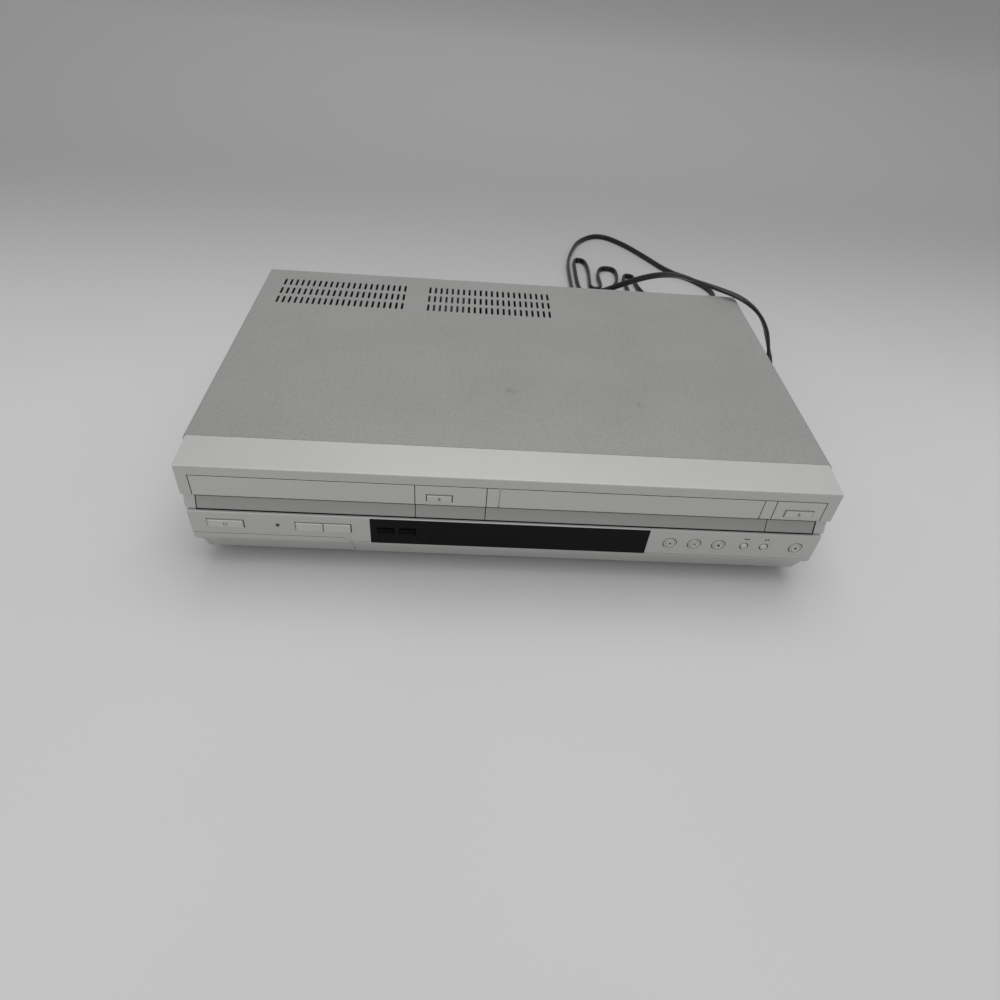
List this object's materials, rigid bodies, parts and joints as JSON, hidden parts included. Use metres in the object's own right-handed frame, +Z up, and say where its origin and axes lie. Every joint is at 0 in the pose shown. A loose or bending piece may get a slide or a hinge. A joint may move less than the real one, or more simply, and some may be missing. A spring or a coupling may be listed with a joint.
{
  "type": "disc player and cassette recorder",
  "caption": "Low home video deck with a sliding disc tray, a cassette slot behind a flap, a display window, push keys, a drop-down socket door and a mains lead.",
  "frame": {"origin": "on the floor under the middle of the case, the mains lead left out", "axes": "+X to the right seen from the front, +Y to the rear, +Z up"},
  "size_m": [0.4819, 0.6318, 0.0955],
  "materials": {
    "painted_steel": "satin metallic paint",
    "zinc_steel": "zinc plated sheet",
    "silver_plastic": "silver painted",
    "key_plastic": "silver painted",
    "black_plastic": "moulded",
    "white_plastic": "moulded, low friction",
    "smoked_plastic": "smoked gloss",
    "clear_plastic": "tinted clear",
    "circuit_board": "laminate with parts",
    "tube_glass": "evacuated tube",
    "ground_steel": "ground bright",
    "turned_aluminium": "fine turned",
    "black_steel": "black oxide",
    "rubber_black": "moulded",
    "cord_jacket": "extruded and moulded vinyl"
  },
  "bodies": {
    "case": {"top_cover": "painted_steel", "chassis_tray": "zinc_steel", "rear_panel": "zinc_steel", "front_panel": "silver_plastic", "feet": "rubber_black", "cover_screws": "black_steel", "display_window": "smoked_plastic", "dvd_eject_bezel": "silver_plastic", "vcr_eject_bezel": "silver_plastic", "indicator_lens": "clear_plastic", "front_board": "circuit_board", "display_tube": "tube_glass", "front_jacks": "black_plastic", "rear_jacks": "black_plastic", "tuner_can": "zinc_steel", "main_board": "circuit_board", "power_board": "circuit_board", "loader_frame": "black_plastic", "loader_motor": "zinc_steel", "clamp_bridge": "black_plastic", "deck_chassis": "zinc_steel", "lower_drum": "turned_aluminium", "tape_heads": "ground_steel", "loading_motor": "zinc_steel", "cord_strain_relief": "rubber_black", "power_cord": "cord_jacket", "power_plug": "cord_jacket"},
    "tray": {"disc_tray": "black_plastic", "tray_door": "silver_plastic"},
    "tray_gear_wheel": {"tray_gear": "white_plastic"},
    "loader_pulley": {"motor_pulley": "white_plastic"},
    "traverse": {"traverse_plate": "zinc_steel", "spindle_motor": "zinc_steel", "guide_rods": "ground_steel"},
    "turntable": {"spindle_hub": "black_plastic"},
    "pickup": {"pickup_sled": "black_plastic"},
    "sled_screw": {"feed_screw": "white_plastic"},
    "disc_clamp": {"clamper": "white_plastic"},
    "cassette_flap": {"cassette_door": "silver_plastic"},
    "jack_flap": {"jack_door": "silver_plastic"},
    "carriage": {"basket_carriage": "zinc_steel"},
    "basket": {"cassette_basket": "zinc_steel"},
    "video_drum": {"upper_drum": "turned_aluminium"},
    "capstan_wheel": {"capstan": "ground_steel"},
    "pinch_lever": {"pinch_arm": "black_plastic"},
    "supply_table": {"supply_reel": "black_plastic"},
    "take_up_table": {"take_up_reel": "black_plastic"},
    "power_button_cap": {"power_button": "key_plastic"},
    "dvd_select_button_cap": {"dvd_select_button": "key_plastic"},
    "video_select_button_cap": {"video_select_button": "key_plastic"},
    "dvd_eject_button_cap": {"dvd_eject_button": "key_plastic"},
    "vcr_eject_button_cap": {"vcr_eject_button": "key_plastic"},
    "channel_down_button_cap": {"channel_down_button": "black_plastic"},
    "channel_up_button_cap": {"channel_up_button": "black_plastic"},
    "play_button_cap": {"play_button": "key_plastic"},
    "pause_button_cap": {"pause_button": "key_plastic"},
    "stop_button_cap": {"stop_button": "key_plastic"},
    "rewind_button_cap": {"rewind_button": "key_plastic"},
    "forward_button_cap": {"forward_button": "key_plastic"},
    "record_button_cap": {"record_button": "key_plastic"}
  },
  "joints": [
    {"name": "tray_slide", "type": "slide", "parent": "case", "child": "tray", "axis": [0, -1, 0], "range_m": [0, 0.134]},
    {"name": "tray_gear_turn", "type": "hinge", "parent": "case", "child": "tray_gear_wheel", "pos_m": [-0.182, -0.099, 0.052], "axis": [0, 0, 1], "range_deg": [-10, 800]},
    {"name": "loader_pulley_turn", "type": "hinge", "parent": "case", "child": "loader_pulley", "pos_m": [-0.118, -0.099, 0.05], "axis": [0, 0, 1], "range_deg": [-20, 1400]},
    {"name": "traverse_lift", "type": "hinge", "parent": "case", "child": "traverse", "pos_m": [-0.135, 0.04, 0.0494], "axis": [1, 0, 0], "range_deg": [0, 4]},
    {"name": "turntable_spin", "type": "hinge", "parent": "traverse", "child": "turntable", "pos_m": [-0.135, -0.072, 0.06], "axis": [0, 0, 1], "continuous": true},
    {"name": "disc_clamp_spin", "type": "hinge", "parent": "case", "child": "disc_clamp", "pos_m": [-0.135, -0.072, 0.074], "axis": [0, 0, 1], "continuous": true},
    {"name": "pickup_slide", "type": "slide", "parent": "traverse", "child": "pickup", "axis": [0, 1, 0], "range_m": [0, 0.035]},
    {"name": "sled_screw_turn", "type": "hinge", "parent": "traverse", "child": "sled_screw", "pos_m": [-0.095, -0.032, 0.0525], "axis": [0, 1, 0], "range_deg": [-10, 4210]},
    {"name": "cassette_flap_hinge", "type": "hinge", "parent": "case", "child": "cassette_flap", "pos_m": [0.07675, -0.13855, 0.0756], "axis": [1, 0, 0], "range_deg": [0, 85], "stiffness_Nm_per_rad": 0.012, "springref_deg": -17.19},
    {"name": "jack_flap_hinge", "type": "hinge", "parent": "case", "child": "jack_flap", "pos_m": [-0.157, -0.134, 0.0112], "axis": [1, 0, 0], "range_deg": [0, 75]},
    {"name": "carriage_slide", "type": "slide", "parent": "case", "child": "carriage", "axis": [0, -1, 0], "range_m": [-0.05, 0]},
    {"name": "basket_drop", "type": "slide", "parent": "carriage", "child": "basket", "axis": [0, 0, 1], "range_m": [-0.02, 0]},
    {"name": "drum_spin", "type": "hinge", "parent": "case", "child": "video_drum", "pos_m": [0.06975, 0.066, 0.05], "axis": [0, 0, 1], "continuous": true},
    {"name": "capstan_spin", "type": "hinge", "parent": "case", "child": "capstan_wheel", "pos_m": [0.1179, 0.042, 0.03], "axis": [0, 0, 1], "continuous": true},
    {"name": "pinch_swing", "type": "hinge", "parent": "case", "child": "pinch_lever", "pos_m": [0.1359, 0.062, 0.034], "axis": [0, 0, 1], "range_deg": [-24, 0]},
    {"name": "supply_spin", "type": "hinge", "parent": "case", "child": "supply_table", "pos_m": [0.02975, -0.031, 0.03], "axis": [0, 0, 1], "continuous": true},
    {"name": "take_up_spin", "type": "hinge", "parent": "case", "child": "take_up_table", "pos_m": [0.12375, -0.031, 0.03], "axis": [0, 0, 1], "continuous": true},
    {"name": "power_button_press", "type": "slide", "parent": "case", "child": "power_button_cap", "axis": [0, 1, 0], "range_m": [0, 0.0008], "stiffness_N_per_m": 600, "springref_m": -0.0005},
    {"name": "dvd_select_button_press", "type": "slide", "parent": "case", "child": "dvd_select_button_cap", "axis": [0, 1, 0], "range_m": [0, 0.0008], "stiffness_N_per_m": 600, "springref_m": -0.0005},
    {"name": "video_select_button_press", "type": "slide", "parent": "case", "child": "video_select_button_cap", "axis": [0, 1, 0], "range_m": [0, 0.0008], "stiffness_N_per_m": 600, "springref_m": -0.0005},
    {"name": "dvd_eject_button_press", "type": "slide", "parent": "case", "child": "dvd_eject_button_cap", "axis": [0, 1, 0], "range_m": [0, 0.0008], "stiffness_N_per_m": 600, "springref_m": -0.0005},
    {"name": "vcr_eject_button_press", "type": "slide", "parent": "case", "child": "vcr_eject_button_cap", "axis": [0, 1, 0], "range_m": [0, 0.0008], "stiffness_N_per_m": 600, "springref_m": -0.0005},
    {"name": "channel_down_button_press", "type": "slide", "parent": "case", "child": "channel_down_button_cap", "axis": [0, 1, 0], "range_m": [0, 0.0008], "stiffness_N_per_m": 600, "springref_m": -0.0005},
    {"name": "channel_up_button_press", "type": "slide", "parent": "case", "child": "channel_up_button_cap", "axis": [0, 1, 0], "range_m": [0, 0.0008], "stiffness_N_per_m": 600, "springref_m": -0.0005},
    {"name": "play_button_press", "type": "slide", "parent": "case", "child": "play_button_cap", "axis": [0, 1, 0], "range_m": [0, 0.0008], "stiffness_N_per_m": 600, "springref_m": -0.0005},
    {"name": "pause_button_press", "type": "slide", "parent": "case", "child": "pause_button_cap", "axis": [0, 1, 0], "range_m": [0, 0.0008], "stiffness_N_per_m": 600, "springref_m": -0.0005},
    {"name": "stop_button_press", "type": "slide", "parent": "case", "child": "stop_button_cap", "axis": [0, 1, 0], "range_m": [0, 0.0008], "stiffness_N_per_m": 600, "springref_m": -0.0005},
    {"name": "rewind_button_press", "type": "slide", "parent": "case", "child": "rewind_button_cap", "axis": [0, 1, 0], "range_m": [0, 0.0008], "stiffness_N_per_m": 600, "springref_m": -0.0005},
    {"name": "forward_button_press", "type": "slide", "parent": "case", "child": "forward_button_cap", "axis": [0, 1, 0], "range_m": [0, 0.0008], "stiffness_N_per_m": 600, "springref_m": -0.0005},
    {"name": "record_button_press", "type": "slide", "parent": "case", "child": "record_button_cap", "axis": [0, 1, 0], "range_m": [0, 0.0008], "stiffness_N_per_m": 600, "springref_m": -0.0005}
  ],
  "couplings": [
    {"joint": "tray_gear_turn", "follows": "tray_slide", "rad_per_m": 90.909},
    {"joint": "loader_pulley_turn", "follows": "tray_slide", "rad_per_m": 163.22},
    {"joint": "disc_clamp_spin", "follows": "turntable_spin", "ratio": 1},
    {"joint": "sled_screw_turn", "follows": "pickup_slide", "rad_per_m": 2094.4}
  ]
}
